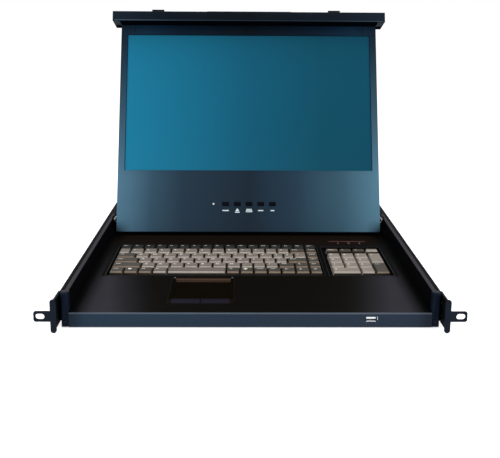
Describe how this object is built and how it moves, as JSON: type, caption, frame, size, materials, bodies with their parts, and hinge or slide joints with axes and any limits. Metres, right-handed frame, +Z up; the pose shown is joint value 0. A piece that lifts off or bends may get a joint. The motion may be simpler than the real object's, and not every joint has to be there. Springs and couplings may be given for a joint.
{
  "type": "rackmount lcd console drawer",
  "caption": "Pull-out 19-inch rack drawer, 1U high, with a folding LCD, keyboard with keypad and touchpad on ball-bearing slides.",
  "frame": {"origin": "midway between the two front ears' slots, on the ears' front faces", "axes": "+X to the right seen from the front, +Y into the rack, +Z up; the drawer is pushed home and the display is opened to its viewing angle"},
  "size_m": [0.4826, 0.71, 0.3551],
  "materials": {
    "bracket_black": "satin black powder coat",
    "slide_steel": "zinc plated",
    "ball_cage": "bright steel",
    "screw_steel": "zinc plated",
    "black_screw": "black oxide",
    "chassis_black": "satin black powder coat",
    "front_navy": "satin dark blue-black",
    "post_black": "satin dark blue-black",
    "deck_black": "satin black",
    "key_light": "warm grey",
    "key_dark": "dark grey",
    "key_base": "black",
    "lens_clear": "smoked clear",
    "touch_grey": "dark grey",
    "board_green": "solder mask",
    "socket_metal": "nickel plated",
    "socket_black": "black",
    "bezel_blue": "satin metallic blue-grey",
    "lcd_shell": "satin black",
    "screen": "anti-glare",
    "bar_navy": "dark navy anodised",
    "washer_steel": "bright steel",
    "hinge_steel": "dark steel",
    "button_black": "black"
  },
  "bodies": {
    "rails": {"ear_bracket_left": "bracket_black", "ear_bracket_right": "bracket_black", "outer_rail_left": "slide_steel", "outer_rail_right": "slide_steel", "rear_brackets": "bracket_black", "rail_screws": "screw_steel"},
    "middle_rails": {"middle_rails": "slide_steel"},
    "outer_balls": {"outer_ball_cages": "ball_cage"},
    "inner_balls": {"inner_ball_cages": "ball_cage"},
    "lcd": {"lcd_bezel": "bezel_blue", "lcd_back_cover": "lcd_shell", "screen_panel": "screen", "lcd_boards": "board_green", "hinge_arm_left": "hinge_steel", "hinge_arm_right": "hinge_steel", "hinge_washers": "washer_steel", "handle_bar": "bar_navy", "bar_end_caps": "bar_navy", "handle_grip": "bar_navy", "status_lens": "lens_clear", "lcd_screws": "black_screw"},
    "latch_left": {"latch_left": "button_black"},
    "latch_right": {"latch_right": "button_black"},
    "touchpad_button_left": {"touchpad_button_left": "touch_grey"},
    "touchpad_button_right": {"touchpad_button_right": "touch_grey"},
    "space_key": {"space_key": "key_light"},
    "enter_key": {"enter_key": "key_dark"},
    "backspace_key": {"backspace_key": "key_dark"},
    "left_shift_key": {"left_shift_key": "key_dark"},
    "right_shift_key": {"right_shift_key": "key_dark"},
    "keypad_zero_key": {"keypad_zero_key": "key_light"},
    "keypad_enter_key": {"keypad_enter_key": "key_dark"},
    "osd_button_1": {"osd_button_1": "button_black"},
    "osd_button_2": {"osd_button_2": "button_black"},
    "osd_button_3": {"osd_button_3": "button_black"},
    "osd_button_4": {"osd_button_4": "button_black"},
    "osd_button_5": {"osd_button_5": "button_black"},
    "drawer": {"inner_rails": "slide_steel", "drawer_screws": "black_screw", "tray_pan": "chassis_black", "rear_cover": "chassis_black", "rear_panel": "chassis_black", "front_bar": "front_navy", "end_post_left": "post_black", "end_post_right": "post_black", "deck_cover": "deck_black", "light_keys": "key_light", "dark_keys": "key_dark", "keyboard_base": "key_base", "light_lenses": "lens_clear", "touchpad_frame": "touch_grey", "touchpad_pad": "touch_grey", "drawer_boards": "board_green", "usb_port": "socket_metal", "signal_sockets": "socket_metal", "power_supply": "socket_metal", "power_inlet": "socket_black", "hinge_brackets": "hinge_steel"}
  },
  "joints": [
    {"name": "drawer_slide", "type": "slide", "parent": "rails", "child": "drawer", "axis": [0, -1, 0], "range_m": [0, 0.4]},
    {"name": "middle_rail_slide", "type": "slide", "parent": "rails", "child": "middle_rails", "axis": [0, -1, 0], "range_m": [0, 0.2]},
    {"name": "outer_ball_slide", "type": "slide", "parent": "rails", "child": "outer_balls", "axis": [0, -1, 0], "range_m": [0, 0.1]},
    {"name": "inner_ball_slide", "type": "slide", "parent": "rails", "child": "inner_balls", "axis": [0, -1, 0], "range_m": [0, 0.3]},
    {"name": "display_hinge", "type": "hinge", "parent": "drawer", "child": "lcd", "pos_m": [0, 0.321, 0.017], "axis": [1, 0, 0], "range_deg": [-11.2, 108.8]},
    {"name": "space_key_press", "type": "slide", "parent": "drawer", "child": "space_key", "axis": [0, 0, -1], "range_m": [0, 0.0022], "stiffness_N_per_m": 250, "springref_m": -0.0012},
    {"name": "enter_key_press", "type": "slide", "parent": "drawer", "child": "enter_key", "axis": [0, 0, -1], "range_m": [0, 0.0022], "stiffness_N_per_m": 250, "springref_m": -0.0012},
    {"name": "backspace_key_press", "type": "slide", "parent": "drawer", "child": "backspace_key", "axis": [0, 0, -1], "range_m": [0, 0.0022], "stiffness_N_per_m": 250, "springref_m": -0.0012},
    {"name": "left_shift_key_press", "type": "slide", "parent": "drawer", "child": "left_shift_key", "axis": [0, 0, -1], "range_m": [0, 0.0022], "stiffness_N_per_m": 250, "springref_m": -0.0012},
    {"name": "right_shift_key_press", "type": "slide", "parent": "drawer", "child": "right_shift_key", "axis": [0, 0, -1], "range_m": [0, 0.0022], "stiffness_N_per_m": 250, "springref_m": -0.0012},
    {"name": "keypad_zero_key_press", "type": "slide", "parent": "drawer", "child": "keypad_zero_key", "axis": [0, 0, -1], "range_m": [0, 0.0022], "stiffness_N_per_m": 250, "springref_m": -0.0012},
    {"name": "keypad_enter_key_press", "type": "slide", "parent": "drawer", "child": "keypad_enter_key", "axis": [0, 0, -1], "range_m": [0, 0.0022], "stiffness_N_per_m": 250, "springref_m": -0.0012},
    {"name": "touchpad_button_left_press", "type": "slide", "parent": "drawer", "child": "touchpad_button_left", "axis": [0, 0, -1], "range_m": [0, 0.0007], "stiffness_N_per_m": 1000, "springref_m": -0.0006},
    {"name": "touchpad_button_right_press", "type": "slide", "parent": "drawer", "child": "touchpad_button_right", "axis": [0, 0, -1], "range_m": [0, 0.0007], "stiffness_N_per_m": 1000, "springref_m": -0.0006},
    {"name": "osd_button_1_press", "type": "slide", "parent": "lcd", "child": "osd_button_1", "axis": [0, 0.9466, -0.3223], "range_m": [0, 0.0006], "stiffness_N_per_m": 1500, "springref_m": -0.0005},
    {"name": "osd_button_2_press", "type": "slide", "parent": "lcd", "child": "osd_button_2", "axis": [0, 0.9466, -0.3223], "range_m": [0, 0.0006], "stiffness_N_per_m": 1500, "springref_m": -0.0005},
    {"name": "osd_button_3_press", "type": "slide", "parent": "lcd", "child": "osd_button_3", "axis": [0, 0.9466, -0.3223], "range_m": [0, 0.0006], "stiffness_N_per_m": 1500, "springref_m": -0.0005},
    {"name": "osd_button_4_press", "type": "slide", "parent": "lcd", "child": "osd_button_4", "axis": [0, 0.9466, -0.3223], "range_m": [0, 0.0006], "stiffness_N_per_m": 1500, "springref_m": -0.0005},
    {"name": "osd_button_5_press", "type": "slide", "parent": "lcd", "child": "osd_button_5", "axis": [0, 0.9466, -0.3223], "range_m": [0, 0.0006], "stiffness_N_per_m": 1500, "springref_m": -0.0005},
    {"name": "latch_left_slide", "type": "slide", "parent": "lcd", "child": "latch_left", "axis": [-1, 0, 0], "range_m": [0, 0.006]},
    {"name": "latch_right_slide", "type": "slide", "parent": "lcd", "child": "latch_right", "axis": [1, 0, 0], "range_m": [0, 0.006]}
  ],
  "couplings": [
    {"joint": "middle_rail_slide", "follows": "drawer_slide", "ratio": 0.5},
    {"joint": "outer_ball_slide", "follows": "drawer_slide", "ratio": 0.25},
    {"joint": "inner_ball_slide", "follows": "drawer_slide", "ratio": 0.75}
  ]
}
